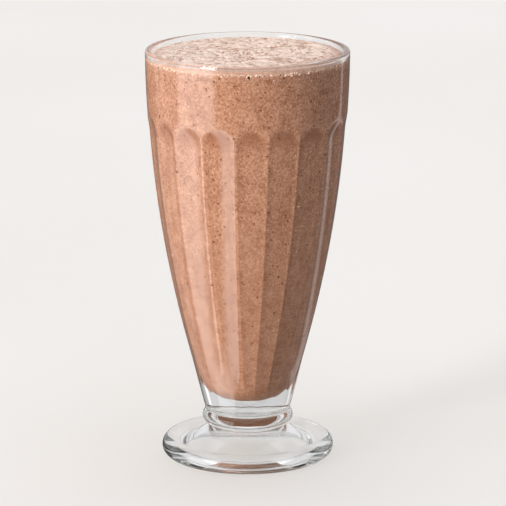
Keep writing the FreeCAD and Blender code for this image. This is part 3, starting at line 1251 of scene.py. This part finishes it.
@dataclass
class WallFlecks:
    """What sits against the glass: cocoa specks, air beads, a row of foam, and open bubbles drawn as dark
    beads of painted shade with pale rims.
    """

    glass: PressedGlass
    specks: Flecks = Flecks(
        "cocoa_specks", PatchyFinish("dark_cocoa", colour(118, 58, 34), colour(148, 88, 60)),
        Slot.SHAKE, seed=31, flat=0.5, rough=0.3)
    beads: Flecks = Flecks(
        "air_beads", PatchyFinish("pale_air", colour(186, 140, 115), colour(208, 164, 140)),
        Slot.FROTH, seed=37, flat=0.5, rough=0.05)
    foam: Flecks = Flecks(
        "foam_ring", PatchyFinish("pale_foam", colour(208, 166, 140), colour(240, 214, 196)),
        Slot.FROTH, seed=41, flat=0.4, rough=0.05)
    # Painted shade: dark beads just proud of the wall, standing for the shade inside open bubbles.
    painted_bubble_shade: Flecks = Flecks(
        "open_bubble_shade", PatchyFinish("bubble_painted_shade", colour(76, 38, 22), colour(98, 56, 34)),
        Slot.FROTH, seed=43, flat=0.5, rough=0.12)
    rims: Flecks = Flecks(
        "bubble_rims", PatchyFinish("bubble_skin", colour(222, 186, 162), colour(240, 216, 198)),
        Slot.FROTH, seed=47, flat=0.3, rough=0.05)
    speck_count: int = 2600
    speck_fall: float = 70.0 * MM
    speck_size: float = 0.055 * MM
    bead_count: int = 2200
    bead_fall: float = 110.0 * MM
    bead_size: float = 0.045 * MM
    foam_count: int = 620
    foam_rise: float = 0.1 * MM
    foam_drop: float = 0.3 * MM
    foam_size: float = 0.05 * MM
    scatter_top: float = GLASS_TOP - 4.6 * MM
    scatter_low: float = 5.0 * MM
    bubble_shade_proud: float = 0.10 * MM
    rim_wider: float = 1.45
    rim_above: float = 0.25
    bubble_shape: tuple[float, float, float] = (1.0, 1.15, 0.35)
    back_bubbles: int = 26
    front_bubbles: tuple[tuple[float, float, float], ...] = (
        (0.6, 1.2, 0.72), (6.6, 0.8, 0.38), (9.4, 0.6, 0.34), (18.7, 0.5, 0.38), (27.0, 0.4, 0.26),
        (-3.8, 0.7, 0.34), (-6.2, 0.8, 0.28), (-10.0, 0.6, 0.32), (-12.4, 0.5, 0.26),
        (-15.5, 0.5, 0.24), (-50.0, 0.4, 0.34), (46.0, 0.8, 0.32), (34.0, 1.6, 0.24))
    seed: int = 23

    def scatter(self, count: int, fall: float, rng: np.random.Generator) -> tuple[Array, Array]:
        """Random places round the wall, denser towards the top.

        Args:
            count: how many.
            fall: the density drops with the depth d as exp(-d / fall).
            rng: the source of random numbers.

        Returns:
            Heights and angles.
        """
        share = rng.uniform(0.0, 1.0, count)
        deepest = 1.0 - math.exp(-(self.scatter_top - self.glass.floor - self.scatter_low) / fall)
        depth = -fall * np.log(1.0 - share * deepest)
        return self.scatter_top - depth, rng.uniform(0.0, 2.0 * math.pi, count)

    def on_wall(self, height: Array, angle: Array, proud: float = 0.0) -> tuple[Array, Array]:
        """Places on the shake's side.

        Args:
            height: of each place.
            angle: of each place.
            proud: how far the places stand out from the side.

        Returns:
            The places, and their outward directions.
        """
        shake = ShakeBody(self.glass)
        radius = self.glass.cavity_radius(height) + shake.reach + shake.echo(height, angle) + proud
        outward = np.column_stack([np.cos(angle), np.sin(angle), np.zeros_like(angle)])
        centre = outward * radius[:, None]
        centre[:, 2] = height
        return centre, outward

    def bubbles(self, contact: float, rng: np.random.Generator) -> tuple[Array, Array, Array]:
        """The open bubbles under the contact line: listed ones in front, random ones behind.

        Each listed one is given by its angle to the right of the front in degrees, and by
        its depth under the contact line and its half size in millimetres.

        Args:
            contact: height of the contact line.
            rng: the source of random numbers.

        Returns:
            Heights, angles and half sizes.
        """
        behind = np.column_stack([
            rng.uniform(60.0, 300.0, self.back_bubbles),
            rng.gamma(4.0, 0.2, self.back_bubbles),
            rng.gamma(5.0, 0.055, self.back_bubbles)])
        turn, drop, half = np.vstack([np.array(self.front_bubbles), behind]).T
        return contact - drop * MM, np.radians(turn - 90.0), half * MM

    def build(self) -> list[bpy.types.Object]:
        """Specks, beads, the foam row and the open bubbles, one mesh of each kind.

        Returns:
            The five pieces.
        """
        rng = np.random.default_rng(self.seed)
        height, angle = self.scatter(self.speck_count, self.speck_fall, rng)
        size = rng.gamma(4.0, self.speck_size, (len(height), 1)) * rng.uniform(0.7, 1.4, (len(height), 3))
        pieces = [self.specks.build(*self.on_wall(height, angle), size)]
        height, angle = self.scatter(self.bead_count, self.bead_fall, rng)
        size = rng.gamma(4.0, self.bead_size, (len(height), 1)) * np.ones(3)
        pieces.append(self.beads.build(*self.on_wall(height, angle), size))
        contact = FrothCap(self.glass).contact
        angle = rng.uniform(0.0, 2.0 * math.pi, self.foam_count)
        height = contact + self.foam_rise - rng.gamma(2.0, self.foam_drop, self.foam_count)
        size = rng.gamma(5.0, self.foam_size, (len(height), 1)) * np.ones(3)
        pieces.append(self.foam.build(*self.on_wall(height, angle), size))
        # The open bubbles' dark insides are painted shade on proud beads; pale rims lie behind them.
        height, angle, half = self.bubbles(contact, rng)
        size = half[:, None] * np.array(self.bubble_shape)
        pieces.append(self.painted_bubble_shade.build(*self.on_wall(height, angle, self.bubble_shade_proud), size))
        above = height + self.rim_above * half
        pieces.append(self.rims.build(*self.on_wall(above, angle), size * self.rim_wider))
        return pieces


# ---------------------------------------------------------------- table, lights, camera


@dataclass(frozen=True)
class Softbox:
    """A bright upright rectangle of the room, by azimuth and elevation in degrees."""

    name: str
    left: float
    right: float
    top: float
    level: float
    edge: float = 2.0

    def share(self, azimuth: Shade, up: Shade) -> Shade:
        """1 inside the rectangle and 0 outside it, with a narrow soft edge.

        Args:
            azimuth: in radians, growing to the right.
            up: sine of the elevation.

        Returns:
            The share of the lamp's level.
        """
        soft = math.radians(self.edge)
        left, right = math.radians(self.left), math.radians(self.right)
        inside = azimuth.ramp(left - soft, left + soft) - azimuth.ramp(right - soft, right + soft)
        low = math.sin(math.radians(self.top - self.edge))
        high = math.sin(math.radians(self.top + self.edge))
        return inside * (1.0 - up.ramp(low, high))


@dataclass
class Studio:
    """A wide pale table in a room with softboxes, narrow strip lights and a pale back."""

    table_reach: float = 14.0
    table_top: PatchyFinish = PatchyFinish(
        "pale_table", colour(237, 235, 230), colour(240, 238, 234), cell=0.4, roughness=0.7, specular=0.2)
    base: float = 0.12
    back: float = 0.72
    back_width: tuple[float, float] = (0.1, 0.75)
    back_foot: tuple[float, float] = (-0.08, 0.02)
    ceiling: float = 1.12
    ceiling_from: float = math.radians(40.0)
    ceiling_to: float = math.radians(62.0)
    key_azimuth: float = math.radians(-46.0)
    key_elevation: float = math.radians(5.0)
    key_strength: float = 4.8
    key_softness: float = math.radians(24.0)
    green_share: float = 0.992
    blue_share: float = 1.01
    boxes: tuple[Softbox, ...] = (
        Softbox("left_softbox", -86.0, -38.0, 28.0, 3.2, 4.0),
        Softbox("left_glow", -118.0, -86.0, 28.0, 0.7, 5.0),
        Softbox("right_softbox", 52.0, 122.0, 42.0, 0.12, 5.0),
        Softbox("right_strip", 131.0, 137.0, 28.0, 0.75, 2.2),
        Softbox("left_strip", -128.0, -120.0, 28.0, 0.5, 2.5),
    )

    def table(self) -> None:
        """One large flat face under the foot, lit but never mirrored in the glass."""
        reach = self.table_reach
        corners = np.array([[-reach, -reach, 0], [reach, -reach, 0], [reach, reach, 0], [-reach, reach, 0]])
        piece = mesh_object("table_top", corners, np.array([[0, 1, 2, 3]]), np.empty((0, 3), int))
        piece.data.materials.append(self.table_top.make())
        piece.visible_glossy = False

    def surround_light(self) -> None:
        """Light the room round the glass by direction: softboxes, ceiling, back wall, dim front.

        Azimuth 0 is in front of the glass and 90 on its right; elevation 90 is straight up.
        """
        world = bpy.data.worlds.new("studio_surround")
        bpy.context.scene.world = world
        graph = Graph(world)
        x, y, z = graph.parts(graph.node("ShaderNodeTexCoord", {}, {}, "Generated"))
        azimuth = x.angle_from(y * -1.0)
        level = self.base + z.ramp(math.sin(self.ceiling_from), math.sin(self.ceiling_to)) * self.ceiling
        level = level + y.ramp(*self.back_width) * z.ramp(*self.back_foot) * self.back
        for box in self.boxes:
            level = level + box.share(azimuth, z) * box.level
        tone = graph.node("ShaderNodeCombineColor", {}, {
            "Red": level, "Green": level * self.green_share, "Blue": level * self.blue_share})
        light = graph.node("ShaderNodeBackground", {}, {"Color": tone, "Strength": 1.0})
        graph.finish(light, world=True)

    def key_lamp(self) -> None:
        """A wide, even lamp low on the left, which lights but isn't mirrored."""
        lamp = bpy.data.lights.new("key_lamp", "SUN")
        lamp.energy = self.key_strength
        lamp.angle = self.key_softness
        holder = bpy.data.objects.new("key_lamp", lamp)
        flat = math.cos(self.key_elevation)
        way = Vector((math.sin(self.key_azimuth) * flat, -math.cos(self.key_azimuth) * flat,
                      math.sin(self.key_elevation)))
        holder.rotation_mode = "QUATERNION"
        holder.rotation_quaternion = way.to_track_quat("Z", "Y")
        holder.visible_glossy = False
        bpy.context.scene.collection.objects.link(holder)

    def build(self) -> None:
        """Table, room and key lamp."""
        self.table()
        self.surround_light()
        self.key_lamp()


@dataclass
class Viewpoint:
    """A long lens that looks gently down on the glass from the front."""

    distance: float = 1.5
    height: float = 0.454
    pitch: float = math.radians(13.64)
    aside: float = math.radians(0.09)
    lens: float = 252.6
    sensor: float = 36.0
    far_limit: float = 100.0

    def build(self) -> None:
        """Place the camera and make it the scene's camera."""
        lens = bpy.data.cameras.new("front_view")
        lens.lens = self.lens
        lens.sensor_width = self.sensor
        lens.clip_end = self.far_limit
        camera = bpy.data.objects.new("front_view", lens)
        camera.location = (0.0, -self.distance, self.height)
        way = Vector((math.sin(self.aside) * math.cos(self.pitch),
                      math.cos(self.aside) * math.cos(self.pitch), -math.sin(self.pitch)))
        camera.rotation_mode = "QUATERNION"
        camera.rotation_quaternion = way.to_track_quat("-Z", "Y")
        bpy.context.scene.collection.objects.link(camera)
        bpy.context.scene.camera = camera


def main() -> None:
    """Build the camera, then the glass, its contents, the table and lights."""
    logging.basicConfig(level=logging.INFO, format="%(name)s %(message)s")
    Viewpoint().build()
    glass = PressedGlass()
    glass.build()
    ShakeBody(glass).build()
    FrothCap(glass).build()
    WallFlecks(glass).build()
    Studio().build()
    bpy.context.scene.view_settings.view_transform = "Standard"
    for limit, count in LIGHT_BOUNCES.items():
        setattr(bpy.context.scene.cycles, limit, count)


if __name__ == "__main__":
    main()
